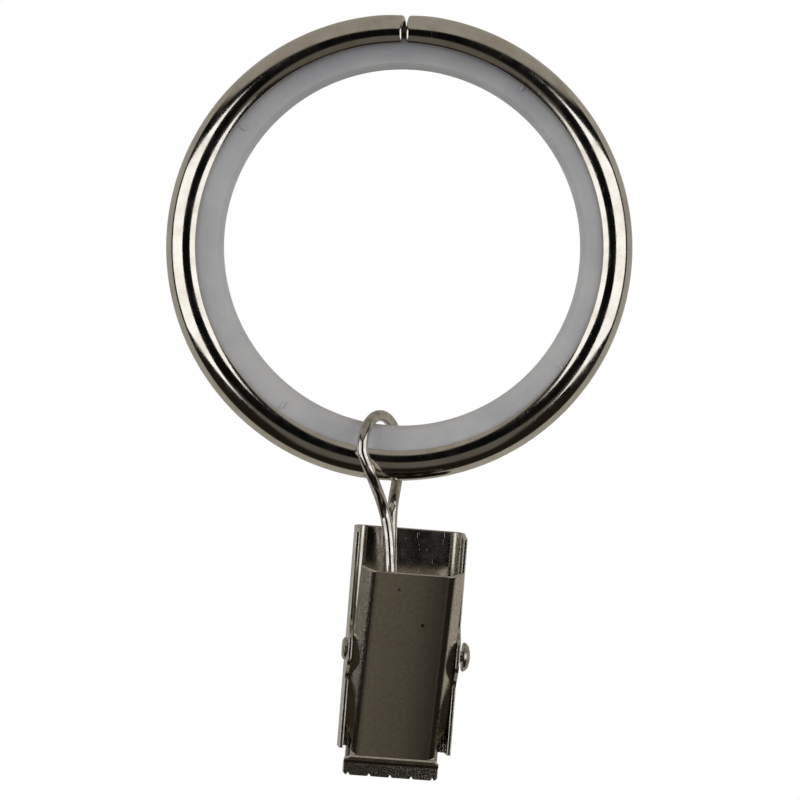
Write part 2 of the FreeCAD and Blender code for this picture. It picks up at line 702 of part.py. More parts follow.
# The wire link: an arch over the liner, two legs that close together and an eye round the pivot.
def turned_point(centre_x, centre_y, reach, yaw, level):
    """Return a point at a reach along a direction turned about the vertical from +Y."""
    angle = math.radians(yaw)
    return FreeCAD.Vector(
        centre_x + reach * math.sin(angle), centre_y + reach * math.cos(angle), level
    )


loop_radius = size("loop_radius")
wire = size("wire_radius")
bore_level = math.sqrt(bore_radius ** 2 - (size("loop_x") - size("liner_shift")) ** 2)
arch_centre = -(bore_level - size("hang_gap") - wire) - loop_radius
pair = wire + size("leg_gap") / 2
clip_across = clip_turn.multVec(FreeCAD.Vector(1, 0, 0))
clip_depth = clip_turn.multVec(FreeCAD.Vector(0, 1, 0))
clip_up = clip_turn.multVec(FreeCAD.Vector(0, 0, 1))
eye_slide = (size("leg_x") - size("pin_x")) / clip_across.x
eye_centre = pivot + clip_across * eye_slide
eye_radius = size("pin_radius") + size("pin_clearance") + wire


def eye_point(depth, level):
    """Return a point of the eye's plane, square to the pivot."""
    return eye_centre + clip_depth * depth + clip_up * level


def strand(sign, end_depth, lean_x, lean_drop, meet_x, meet_drop):
    """Return one strand's route, from the wire's end in the eye up to the top of the arch."""
    loop_x = size("loop_x")
    top = turned_point(loop_x, 0, sign * loop_radius, size("loop_yaw"), arch_centre + loop_radius)
    shoulder = FreeCAD.Vector(top.x, top.y, arch_centre + size("shoulder_rise"))
    leaned_in = FreeCAD.Vector(lean_x, 0.97 * top.y, arch_centre - lean_drop)
    meeting = FreeCAD.Vector(meet_x, sign * 1.1 * pair, arch_centre - meet_drop)
    return [
        eye_point(end_depth, -eye_radius),
        eye_point(sign * eye_radius, -eye_radius),
        eye_point(sign * eye_radius, 0.55),
        eye_point(sign * pair, 2.5),
        turned_point(size("leg_x"), 0, sign * pair, size("leg_yaw"), arch_centre - size("jog_drop")),
        meeting,
        leaned_in,
        shoulder,
        top,
    ]


bend_radii = [eye_radius * 0.85, 0.9, 1.2, 1.4, 1.3, 1.6, 1.6, loop_radius * 0.82]
front_strand = strand(
    -1, -size("eye_end_gap") / 2,
    size("front_lean_x"), size("front_lean_drop"), size("front_meet_x"), size("front_meet_drop"),
)
back_strand = strand(
    1, size("eye_end_gap") / 2,
    size("back_lean_x"), size("back_lean_drop"), size("back_meet_x"), size("back_meet_drop"),
)
route_points = front_strand + list(reversed(back_strand))
route_radii = bend_radii + list(reversed(bend_radii))
link_path = rounded_route(route_points, route_radii)
link = swept_wire("wire_link", link_path, "wire_radius", FreeCAD.Placement())

# The torsion spring: a coil round the shank and a leg against each plate.
coil_radius = size("spring_coil_radius")
leg_length = size("spring_leg")
spring_wire = size("spring_wire_radius")
seat = spring_wire + size("spring_seat")
back_reach = size("back_plate_depth") - size("back_sheet") - seat
lean = math.radians(size("front_lean"))


def leg_angle_to(reach):
    """Return how far from upright a leg tangent to the coil leans so that its end is at a reach."""
    angle = 0.0
    for _ in range(30):
        slope = (reach - coil_radius * math.cos(angle)) / leg_length
        angle = math.asin(max(-0.95, min(0.95, slope)))
    return angle


back_lean = leg_angle_to(back_reach)
front_lean_of_leg = leg_angle_to(size("front_standoff") - seat) + lean
start_angle = front_lean_of_leg
sweep_angle = 2 * math.pi * size("spring_turns") + math.pi - front_lean_of_leg - back_lean
coil_rise = size("spring_pitch") * sweep_angle / (2 * math.pi)
coil_axis = FreeCAD.Vector(1, 0, 0)
first_radius = FreeCAD.Vector(0, -math.cos(start_angle), -math.sin(start_angle))
helix = Part.makeHelix(size("spring_pitch"), coil_rise, coil_radius)
helix.Placement = FreeCAD.Placement(
    FreeCAD.Vector(size("spring_start"), 0, 0),
    FreeCAD.Rotation(first_radius, coil_axis.cross(first_radius), coil_axis, "ZXY"),
)
coil = helix.Edges[0]
coil_start = coil.valueAt(coil.FirstParameter)
coil_end = coil.valueAt(coil.LastParameter)
first_leg_end = coil_start - coil.tangentAt(coil.FirstParameter) * leg_length
last_leg_end = coil_end + coil.tangentAt(coil.LastParameter) * leg_length
coil_edges = [
    Part.LineSegment(first_leg_end, coil_start).toShape(),
    coil,
    Part.LineSegment(coil_end, last_leg_end).toShape(),
]
spring = swept_wire("torsion_spring", Part.Wire(coil_edges), "spring_wire_radius", clip_place)

# Every object must have come out whole before anything is written.
doc.recompute()
for item in doc.Objects:
    if "Invalid" in item.State or "Error" in item.State:
        sys.exit(f"{item.Name} failed: {item.State}")
parts = [ring, liner, link, back, front, rivet, spring]
for sub_part in parts:
    shape = sub_part.Shape
    if shape.isNull() or not shape.isValid() or len(shape.Solids) != 1:
        sys.exit(f"{sub_part.Label} is not one valid solid")

os.makedirs("parts", exist_ok=True)
for sub_part in parts:
    sub_part.Shape.exportStep(f"parts/{sub_part.Label}.step")
    box = sub_part.Shape.BoundBox
    print(f"{sub_part.Label}: {sub_part.Shape.Volume:.2f} mm3, z {box.ZMin:.2f} to {box.ZMax:.2f}")
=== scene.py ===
import logging
import math
from dataclasses import dataclass, field
from enum import Enum

import bpy
from mathutils import Matrix, Vector


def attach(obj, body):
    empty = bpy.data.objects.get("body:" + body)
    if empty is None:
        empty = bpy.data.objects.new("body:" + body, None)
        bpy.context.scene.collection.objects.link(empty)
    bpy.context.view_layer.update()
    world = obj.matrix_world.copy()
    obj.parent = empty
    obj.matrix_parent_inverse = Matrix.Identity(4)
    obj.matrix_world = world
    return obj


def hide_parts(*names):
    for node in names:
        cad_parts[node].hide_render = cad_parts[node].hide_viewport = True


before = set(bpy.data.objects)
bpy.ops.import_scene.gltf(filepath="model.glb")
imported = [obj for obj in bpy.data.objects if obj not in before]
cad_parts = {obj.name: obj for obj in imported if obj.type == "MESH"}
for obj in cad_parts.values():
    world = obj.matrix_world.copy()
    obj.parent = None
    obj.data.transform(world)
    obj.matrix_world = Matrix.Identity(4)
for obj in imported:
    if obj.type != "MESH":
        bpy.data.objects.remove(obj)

LOG = logging.getLogger("curtain_ring")
MM = 0.001
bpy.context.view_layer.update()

Tree = bpy.types.NodeTree
Socket = bpy.types.NodeSocket
Material = bpy.types.Material
Place = tuple[float, float, float]
Band = tuple[float, float]


def linear(code: str) -> tuple[float, float, float, float]:
    """Turn an sRGB hex colour into the linear values that shaders take.

    Args:
        code: six hex digits, such as "c8c2b8".

    Returns:
        Linear red, green, blue and an alpha of 1.
    """
    channels = [int(code[place:place + 2], 16) / 255 for place in (0, 2, 4)]
    values = [c / 12.92 if c <= 0.04045 else ((c + 0.055) / 1.055) ** 2.4 for c in channels]
    return values[0], values[1], values[2], 1.0


def add_node(
    tree: Tree, kind: str, settings: dict | None = None, links: dict | None = None,
    stops: tuple[Band, ...] = (),
) -> bpy.types.Node:
    """Add one shader node, set its fields and sockets and link its inputs.

    Args:
        tree: the node tree that gets the node.
        kind: the node's type name.
        settings: field or input names and their values.
        links: input names and the output sockets that feed them.
        stops: a colour ramp's positions, in rising order, and their grey levels.

    Returns:
        The new node.
    """
    node = tree.nodes.new(kind)
    for name, value in (settings or {}).items():
        if isinstance(name, str) and hasattr(node, name):
            setattr(node, name, value)
        else:
            node.inputs[name].default_value = value
    for name, socket in (links or {}).items():
        tree.links.new(socket, node.inputs[name])
    for number, (place, level) in enumerate(stops):
        elements = node.color_ramp.elements
        if number == len(elements):
            elements.new(place)
        elements[number].position = place
        elements[number].color = (level, level, level, 1.0)
    return node


def blank_material(name: str) -> tuple[Material, Tree, bpy.types.Node]:
    """Make a material that holds only a Principled shader.

    Args:
        name: the material's name.

    Returns:
        The material, its node tree and the Principled node.
    """
    material = bpy.data.materials.new(name)
    material.use_nodes = True
    tree = material.node_tree
    return material, tree, tree.nodes["Principled BSDF"]


@dataclass(frozen=True)
class ClipPlace:
    """How the spring clip hangs: where its pin is, how it is turned and how its lever leans."""

    pivot_mm: Place = (0.38, 0.0, -45.5)
    yaw_degrees: float = 5.0
    roll_degrees: float = 4.6
    lean_degrees: float = 19.0

    def turn(self) -> Matrix:
        """Return the rotation from the clip's own frame to the ring's."""
        yaw = Matrix.Rotation(math.radians(self.yaw_degrees), 3, "Z")
        return yaw @ Matrix.Rotation(math.radians(self.roll_degrees), 3, "Y")

    def point(self, across: float, depth: float, level: float) -> Vector:
        """Return a place of the clip's own frame in the ring's, in millimetres."""
        return self.turn() @ Vector((across, depth, level)) + Vector(self.pivot_mm)

    def side(self) -> Place:
        """Return the direction from the clip's left side to its right."""
        return tuple(self.turn() @ Vector((1.0, 0.0, 0.0)))

    def lever_front(self) -> Place:
        """Return the direction that the closed lever's front faces."""
        lean = math.radians(self.lean_degrees)
        return tuple(self.turn() @ Vector((0.0, -math.cos(lean), -math.sin(lean))))


@dataclass(frozen=True)
class PlatedSteel:
    """A nickel-plated steel finish: mirror-like, with bloom, pits, handling marks and scratches.

    Each scratch run is its direction in degrees and the scratches' width in millimetres. Each
    band is where a pattern's value starts to count and where it counts in full.
    """

    name: str
    colour: str
    worn_colour: str
    roughness: float
    bloom: float
    mottle_mm: float
    pit_mm: float
    pit_depth: float
    scratch_depth: float
    edge_mm: float
    speck_share: float = 0.0
    cloud_band: Band = (0.38, 0.64)
    scratch_runs: tuple[Band, ...] = ((12.0, 0.05), (-38.0, 0.07), (71.0, 0.06))
    scratch_stretch: Place = (1.0, 0.4, 0.03)
    scratch_band: Band = (0.765, 0.81)
    scratch_dulling: float = 0.15
    scratch_height_mm: float = 0.01
    speck_mm: float = 1.3
    speck_band: Band = (0.10, 0.20)
    speck_fade: float = 0.005
    rust_colour: str = "5a2c1c"
    pit_height_mm: float = 0.02
    edge_samples: int = 6

    def clouds(self, tree: Tree, coords: Socket) -> Socket:
        """Return the soft patches where the plate is duller.

        Args:
            tree: the node tree.
            coords: the object coordinates.

        Returns:
            A grey socket, 1 where the plate is dullest.
        """
        broad = add_node(
            tree, "ShaderNodeTexNoise",
            {"Scale": 1 / (self.mottle_mm * MM), "Detail": 6.0, "Roughness": 0.68},
            {"Vector": coords},
        )
        start, full = self.cloud_band
        return add_node(
            tree, "ShaderNodeValToRGB", {}, {"Fac": broad.outputs["Fac"]},
            ((start, 0.0), (full, 1.0)),
        ).outputs["Color"]

    def scratches(self, tree: Tree, coords: Socket) -> Socket:
        """Return sparse fine scratches in a few directions.

        Args:
            tree: the node tree.
            coords: the object coordinates.

        Returns:
            A grey socket, 1 on a scratch.
        """
        start, full = self.scratch_band
        total = None
        for turn, width_mm in self.scratch_runs:
            turned = add_node(
                tree, "ShaderNodeMapping",
                {"Rotation": (0.0, math.radians(turn), 0.0), "Scale": self.scratch_stretch},
                {"Vector": coords},
            )
            hairs = add_node(
                tree, "ShaderNodeTexNoise",
                {"Scale": 1 / (width_mm * MM), "Detail": 1.0, "Roughness": 0.5},
                {"Vector": turned.outputs["Vector"]},
            )
            lines = add_node(
                tree, "ShaderNodeValToRGB", {}, {"Fac": hairs.outputs["Fac"]},
                ((start, 0.0), (full, 1.0)),
            ).outputs["Color"]
            if total is None:
                total = lines
            else:
                total = add_node(
                    tree, "ShaderNodeMath", {"operation": "MAXIMUM"}, {0: total, 1: lines},
                ).outputs[0]
        return total

    def rust(self, tree: Tree, coords: Socket, under: Socket) -> Socket:
        """Lay a few reddish rust specks over a colour.

        Args:
            tree: the node tree.
            coords: the object coordinates.
            under: the colour socket below the specks.

        Returns:
            The new colour socket.
        """
        cells = add_node(
            tree, "ShaderNodeTexVoronoi", {"Scale": 1 / (self.speck_mm * MM)}, {"Vector": coords},
        )
        middle, rim = self.speck_band
        near = add_node(
            tree, "ShaderNodeValToRGB", {}, {"Fac": cells.outputs["Distance"]},
            ((middle, 1.0), (rim, 0.0)),
        )
        pick = add_node(tree, "ShaderNodeSeparateColor", {}, {"Color": cells.outputs["Color"]})
        rare = 1 - self.speck_share
        few = add_node(
            tree, "ShaderNodeValToRGB", {}, {"Fac": pick.outputs["Red"]},
            ((rare, 0.0), (rare + self.speck_fade, 1.0)),
        )
        specks = add_node(
            tree, "ShaderNodeMath", {"operation": "MULTIPLY"},
            {0: near.outputs["Color"], 1: few.outputs["Color"]},
        )
        return add_node(
            tree, "ShaderNodeMix", {"data_type": "RGBA", 7: linear(self.rust_colour)},
            {"Factor": specks.outputs[0], 6: under},
        ).outputs[2]

    def wear(
        self, tree: Tree, coords: Socket, surface: Socket, rough: Socket,
    ) -> tuple[Socket, Socket]:
        """Change the colour and roughness where a finish is uneven; here they stay.

        Args:
            tree: the node tree; not used here.
            coords: the object coordinates; not used here.
            surface: the colour socket.
            rough: the roughness socket.

        Returns:
            The colour and roughness sockets.
        """
        return surface, rough

    def relief(self, tree: Tree, coords: Socket, scratched: Socket) -> Socket:
        """Return the surface's normal with softened edges, the barrel's pits and scratches.

        Args:
            tree: the node tree.
            coords: the object coordinates.
            scratched: the scratches' grey socket.

        Returns:
            The normal socket.
        """
        rounded = add_node(
            tree, "ShaderNodeBevel", {"samples": self.edge_samples, "Radius": self.edge_mm * MM},
        )
        pits = add_node(
            tree, "ShaderNodeTexNoise",
            {"Scale": 1 / (self.pit_mm * MM), "Detail": 2.0, "Roughness": 0.6},
            {"Vector": coords},
        )
        waves = add_node(
            tree, "ShaderNodeBump",
            {"Strength": self.pit_depth, "Distance": self.pit_height_mm * MM},
            {"Height": pits.outputs["Fac"], "Normal": rounded.outputs["Normal"]},
        )
        return add_node(
            tree, "ShaderNodeBump",
            {
                "Strength": self.scratch_depth, "Distance": self.scratch_height_mm * MM,
                "invert": True,
            },
            {"Height": scratched, "Normal": waves.outputs["Normal"]},
        ).outputs["Normal"]

    def build(self) -> Material:
        """Build the material.

        Returns:
            The finished material.
        """
        material, tree, shader = blank_material(self.name)
        coords = add_node(tree, "ShaderNodeTexCoord").outputs["Object"]
        mottle = self.clouds(tree, coords)
        scratched = self.scratches(tree, coords)
        surface = add_node(
            tree, "ShaderNodeMix",
            {"data_type": "RGBA", 6: linear(self.colour), 7: linear(self.worn_colour)},
            {"Factor": mottle},
        ).outputs[2]
        if self.speck_share > 0:
            surface = self.rust(tree, coords, surface)
        rough = add_node(
            tree, "ShaderNodeMapRange",
            {"To Min": self.roughness, "To Max": self.roughness + self.bloom},
            {"Value": mottle},
        )
        surface, dullness = self.wear(tree, coords, surface, rough.outputs["Result"])
        rubbed = add_node(
            tree, "ShaderNodeMath", {"operation": "MULTIPLY_ADD", 1: self.scratch_dulling},
            {0: scratched, 2: dullness},
        )
        shader.inputs["Metallic"].default_value = 1.0
        tree.links.new(surface, shader.inputs["Base Color"])
        tree.links.new(rubbed.outputs[0], shader.inputs["Roughness"])
        tree.links.new(self.relief(tree, coords, scratched), shader.inputs["Normal"])
        return material


@dataclass(frozen=True)
class SatinFaced(PlatedSteel):
    """Plated sheet whose flat front is satin with a painted shade towards one side, with glossy
    bends, and whose skirts are painted pale as painted light.
    """

    clip: ClipPlace = ClipPlace()
    half_width_mm: float = 5.2
    satin: float = 0.33
    lit_side_colour: str = "eae6da"
    # Painted light: the skirts' colour is pale to stand in for the light they catch.
    skirt_painted_light_colour: str = "f4f2ee"
    shaded_side_colour: str = "67635b"
    flat_band: Band = (0.985, 0.998)
    skirt_band: Band = (0.80, 0.92)
    side_shade_stops: tuple[Band, ...] = ((0.0, 0.0), (0.55, 0.3), (1.0, 1.0))

    def paint_side_shade(self, tree: Tree, coords: Socket) -> Socket:
        """Return the front's painted shade, from its lit side to its shaded side.

        Args:
            tree: the node tree.
            coords: the object coordinates.

        Returns:
            The colour socket.
        """
        # Painted shade: the front's colour darkens across it towards its right side.
        away = add_node(
            tree, "ShaderNodeVectorMath",
            {"operation": "SUBTRACT", 1: tuple(value * MM for value in self.clip.pivot_mm)},
            {0: coords},
        )
        along = add_node(
            tree, "ShaderNodeVectorMath",
            {"operation": "DOT_PRODUCT", 1: self.clip.side()}, {0: away.outputs["Vector"]},
        )
        across = add_node(
            tree, "ShaderNodeMapRange",
            {"From Min": -self.half_width_mm * MM, "From Max": self.half_width_mm * MM},
            {"Value": along.outputs["Value"]},
        )
        shade_share = add_node(
            tree, "ShaderNodeValToRGB", {}, {"Fac": across.outputs["Result"]},
            self.side_shade_stops,
        )
        return add_node(
            tree, "ShaderNodeMix",
            {"data_type": "RGBA", 6: linear(self.lit_side_colour), 7: linear(self.shaded_side_colour)},
            {"Factor": shade_share.outputs["Color"]},
        ).outputs[2]

    def facing(self, tree: Tree, direction: Place, band: Band) -> Socket:
        """Return where the surface faces a direction.

        Args:
            tree: the node tree.
            direction: the direction, of length 1.
            band: the cosines at which it starts to count and counts in full.

        Returns:
            A grey socket, 1 where it faces that way.
        """
        normal = add_node(tree, "ShaderNodeTexCoord").outputs["Normal"]
        towards = add_node(
            tree, "ShaderNodeVectorMath",
            {"operation": "DOT_PRODUCT", 1: direction}, {0: normal},
        )
        start, full = band
        return add_node(
            tree, "ShaderNodeValToRGB", {}, {"Fac": towards.outputs["Value"]},
            ((start, 0.0), (full, 1.0)),
        ).outputs["Color"]

    def wear(
        self, tree: Tree, coords: Socket, surface: Socket, rough: Socket,
    ) -> tuple[Socket, Socket]:
        """Make the flat front satin with its painted shade, and the two skirts satin and painted
        pale as painted light.

        Args:
            tree: the node tree.
            coords: the object coordinates.
            surface: the colour socket.
            rough: the roughness socket.

        Returns:
            The colour and roughness sockets.
        """
        side = self.clip.side()
        flat = self.facing(tree, self.clip.lever_front(), self.flat_band)
        right = self.facing(tree, side, self.skirt_band)
        left = self.facing(tree, tuple(-value for value in side), self.skirt_band)
        skirts = add_node(
            tree, "ShaderNodeMath", {"operation": "MAXIMUM"}, {0: left, 1: right},
        ).outputs[0]
        # Painted shade: the flat front's colour is multiplied by that gradient.
        front = add_node(
            tree, "ShaderNodeMix", {"data_type": "RGBA", "blend_type": "MULTIPLY"},
            {"Factor": flat, 6: surface, 7: self.paint_side_shade(tree, coords)},
        )
        satin = add_node(
            tree, "ShaderNodeMath", {"operation": "MAXIMUM"}, {0: flat, 1: skirts},
        )
        dull = add_node(
            tree, "ShaderNodeMath", {"operation": "MULTIPLY_ADD", 1: self.satin},
            {0: satin.outputs[0], 2: rough},
        )
        # Painted light: the skirts are mixed to the pale colour in place of the light they catch.
        pale = add_node(
            tree, "ShaderNodeMix", {"data_type": "RGBA", 7: linear(self.skirt_painted_light_colour)},
            {"Factor": skirts, 6: front.outputs[2]},
        )
        return pale.outputs[2], dull.outputs[0]


@dataclass(frozen=True)
class MouldedNylon:
    """Injection-moulded white nylon: satin, slightly translucent, faintly uneven.

    Painted shade darkens it between two radii, towards the metal, and grows between two heights
    of the ring, towards the top where the metal lips shade it. Past the hidden radii it is
    inside the metal gutter, where it is painted near black as shade.
    """

    name: str
    colour: str
    shade: str
    roughness: float
    translucency: float
    depth_mm: float
    painted_shade_colour: str
    painted_shade_radii_mm: Band
    painted_shade_heights_mm: Band
    painted_shade_most: float
    hidden_colour: str
    hidden_radii_mm: Band
    cloud_mm: float = 6.0
    cloud_band: Band = (0.38, 0.66)
    scatter: Place = (1.0, 0.95, 0.85)
    ior: float = 1.53
    grain_mm: float = 0.25
    grain_height_mm: float = 0.02
    grain_strength: float = 0.35

    def tone(self, tree: Tree, coords: Socket) -> Socket:
        """Return the plastic's faintly clouded colour.

        Args:
            tree: the node tree.
            coords: the object coordinates.

        Returns:
            The colour socket.
        """
        cloud = add_node(
            tree, "ShaderNodeTexNoise",
            {"Scale": 1 / (self.cloud_mm * MM), "Detail": 5.0, "Roughness": 0.62},
            {"Vector": coords},
        )
        start, full = self.cloud_band
        patches = add_node(
            tree, "ShaderNodeValToRGB", {}, {"Fac": cloud.outputs["Fac"]},
            ((start, 0.0), (full, 1.0)),
        )
        return add_node(
            tree, "ShaderNodeMix",
            {"data_type": "RGBA", 6: linear(self.colour), 7: linear(self.shade)},
            {"Factor": patches.outputs["Color"]},
        ).outputs[2]

    def lay_painted_shade(self, tree: Tree, coords: Socket, radius: Socket, under: Socket) -> Socket:
        """Lay painted shade where the strip meets the metal, more towards the top.

        Args:
            tree: the node tree.
            coords: the object coordinates.
            radius: the distance from the ring's axis.
            under: the colour socket below the painted shade.

        Returns:
            The new colour socket.
        """
        # Painted shade: darker towards the metal and towards the top of the ring.
        seam = add_node(
            tree, "ShaderNodeMapRange",
            {"From Min": self.painted_shade_radii_mm[0] * MM, "From Max": self.painted_shade_radii_mm[1] * MM},
            {"Value": radius},
        )
        parts = add_node(tree, "ShaderNodeSeparateXYZ", {}, {"Vector": coords})
        upper = add_node(
            tree, "ShaderNodeMapRange",
            {
                "From Min": self.painted_shade_heights_mm[0] * MM,
                "From Max": self.painted_shade_heights_mm[1] * MM,
                "To Max": self.painted_shade_most,
            },
            {"Value": parts.outputs["Z"]},
        )
        share = add_node(
            tree, "ShaderNodeMath", {"operation": "MULTIPLY"},
            {0: seam.outputs["Result"], 1: upper.outputs["Result"]},
        )
        return add_node(
            tree, "ShaderNodeMix", {"data_type": "RGBA", 7: linear(self.painted_shade_colour)},
            {"Factor": share.outputs[0], 6: under},
        ).outputs[2]

    def build(self) -> Material:
        """Build the material.

        Returns:
            The finished material.
        """
        material, tree, shader = blank_material(self.name)
        coords = add_node(tree, "ShaderNodeTexCoord").outputs["Object"]
        sideways = add_node(
            tree, "ShaderNodeVectorMath",
            {"operation": "MULTIPLY", 1: (1.0, 0.0, 1.0)}, {0: coords},
        )
        radius = add_node(
            tree, "ShaderNodeVectorMath", {"operation": "LENGTH"},
            {0: sideways.outputs["Vector"]},
        ).outputs["Value"]
        # Painted shade: past the hidden radii, inside the gutter, the nylon is painted near black.
        inside = add_node(
            tree, "ShaderNodeMapRange",
            {"From Min": self.hidden_radii_mm[0] * MM, "From Max": self.hidden_radii_mm[1] * MM},
            {"Value": radius},
        )
        surface = add_node(
            tree, "ShaderNodeMix", {"data_type": "RGBA", 7: linear(self.hidden_colour)},
            {
                "Factor": inside.outputs["Result"],
                6: self.lay_painted_shade(tree, coords, radius, self.tone(tree, coords)),
            },
        )
        grain = add_node(
            tree, "ShaderNodeTexNoise",
            {"Scale": 1 / (self.grain_mm * MM), "Detail": 3.0}, {"Vector": coords},
        )
        bump = add_node(
            tree, "ShaderNodeBump",
            {"Strength": self.grain_strength, "Distance": self.grain_height_mm * MM},
            {"Height": grain.outputs["Fac"]},
        )
        tree.links.new(surface.outputs[2], shader.inputs["Base Color"])
        tree.links.new(bump.outputs["Normal"], shader.inputs["Normal"])
        shader.inputs["Subsurface Weight"].default_value = self.translucency
        shader.inputs["Subsurface Radius"].default_value = self.scatter
        shader.inputs["Subsurface Scale"].default_value = self.depth_mm * MM
        shader.inputs["Roughness"].default_value = self.roughness
        shader.inputs["IOR"].default_value = self.ior
        return material


class Finish(Enum):
    """The finishes of the ring's pieces."""

    # Rolled from bright strip and barrel plated: a near mirror, faintly pitted by the barrel,
    # so its reflections have grainy edges.
    BRIGHT_NICKEL = PlatedSteel(
        "polished_nickel_plate", colour="dedad2", worn_colour="cdc6bb", roughness=0.075,
        bloom=0.09, mottle_mm=3.2, pit_mm=0.22, pit_depth=0.10, scratch_depth=0.12,
        edge_mm=0.05, speck_share=0.004,
    )
    # Drawn wire, plated in bulk: bright, with rub marks.
    NICKEL_WIRE = PlatedSteel(
        "nickel_plated_wire", colour="d6d2cb", worn_colour="aba49a", roughness=0.09,
        bloom=0.10, mottle_mm=1.1, pit_mm=0.16, pit_depth=0.14, scratch_depth=0.10,
        edge_mm=0.04,
    )
    # Pressed sheet: the channel keeps the strip's bright roll finish, scuffed by handling, and
    # its bends are drawn smooth.
    BRIGHT_SHEET = PlatedSteel(
        "bright_nickel_sheet", colour="d0ccc4", worn_colour="bcb5a9", roughness=0.12,
        bloom=0.08, mottle_mm=2.6, pit_mm=0.18, pit_depth=0.10, scratch_depth=0.35,
        edge_mm=0.20,
    )
    # The lever was blanked from duller strip: a satin bloom with fine grain on its flat front
    # and skirts, bright again where the bends stretched it. Its front carries a painted shade,
    # darker towards its right side, and its skirts are painted pale as painted light.
    SATIN_SHEET = SatinFaced(
        "satin_nickel_sheet", colour="dcd6ca", worn_colour="c0b7a8", roughness=0.11,
        bloom=0.06, mottle_mm=0.45, pit_mm=0.12, pit_depth=0.75, scratch_depth=0.15,
        edge_mm=0.10, speck_share=0.012,
    )
    # Headed from wire and plated: small soft dents from the barrel.
    NICKEL_RIVET = PlatedSteel(
        "nickel_plated_rivet", colour="c9c5bd", worn_colour="9c9486", roughness=0.15,
        bloom=0.10, mottle_mm=0.7, pit_mm=0.16, pit_depth=0.20, scratch_depth=0.10,
        edge_mm=0.05,
    )
    # Oil-tempered spring wire, left bare: greyer and duller than the plated wire.
    SPRING_STEEL = PlatedSteel(
        "bare_spring_steel", colour="8f8b84", worn_colour="6f6a62", roughness=0.24,
        bloom=0.10, mottle_mm=0.6, pit_mm=0.12, pit_depth=0.20, scratch_depth=0.10,
        edge_mm=0.03,
    )
    # Injection-moulded nylon strip, satin from the mould, cool and milky, with painted shade
    # where it meets the metal at the top. The part inside the gutter is painted dark as shade.
    WHITE_NYLON = MouldedNylon(
        "white_nylon", colour="e2e2e3", shade="d3d4d8", roughness=0.45, translucency=0.35,
        depth_mm=0.9, painted_shade_colour="77777f", painted_shade_radii_mm=(20.7, 23.0),
        painted_shade_heights_mm=(10.0, 21.0), painted_shade_most=0.85, hidden_colour="19191a",
        hidden_radii_mm=(23.2, 23.5),
    )


@dataclass
class MaterialShelf:
    """Builds each finish once and hands it out."""

    built: dict[Finish, Material] = field(default_factory=dict)

    def take(self, finish: Finish) -> Material:
        """Return a finish's material, building it the first time.

        Args:
            finish: the finish asked for.

        Returns:
            The material.
        """
        if finish not in self.built:
            self.built[finish] = finish.value.build()
            LOG.info("finish %s", finish.value.name)
        return self.built[finish]


def mesh_piece(
    name: str, points: list, faces: list, material: Material, sharp_degrees: float = 40.0,
) -> bpy.types.Object:
    """Make a smooth-shaded mesh object.

    Args:
        name: the piece's name.
        points: vertex places in metres.
        faces: tuples of vertex numbers.
        material: the piece's material.
        sharp_degrees: edges bent more than this stay sharp.

    Returns:
        The new object.
    """
    mesh = bpy.data.meshes.new(name)
    mesh.from_pydata(points, [], faces)
    mesh.validate()
    mesh.shade_smooth()
    mesh.set_sharp_from_angle(angle=math.radians(sharp_degrees))
    mesh.materials.append(material)
    piece = bpy.data.objects.new(name, mesh)
    bpy.context.scene.collection.objects.link(piece)
    return piece


def closed_grid(rows: int, columns: int, loop_rows: bool) -> list[tuple[int, ...]]:
    """Return the quads of a grid whose columns close on themselves.

    Args:
        rows: how many rings of points there are.
        columns: points in each ring.
        loop_rows: whether the last ring joins the first.

    Returns:
        Tuples of vertex numbers.
    """
    faces = []
    for row in range(rows if loop_rows else rows - 1):
        following = (row + 1) % rows
        for column in range(columns):
            beside = (column + 1) % columns
            faces.append((
                row * columns + column, row * columns + beside,
                following * columns + beside, following * columns + column,
            ))
    if not loop_rows:
        faces.append(tuple(reversed(range(columns))))
        faces.append(tuple((rows - 1) * columns + column for column in range(columns)))
    return faces


def arc_points(
    centre: Band, radius: float, start: float, end: float, steps: int,
) -> list[Band]:
    """Return points along an arc in a plane, both ends included.

    Args:
        centre: the arc's centre.
        radius: the arc's radius.
        start: first angle in degrees.
        end: last angle in degrees.
        steps: number of spans.

    Returns:
        Pairs of coordinates.
    """
    angles = [math.radians(start + (end - start) * step / steps) for step in range(steps + 1)]
    return [(centre[0] + radius * math.cos(a), centre[1] + radius * math.sin(a)) for a in angles]


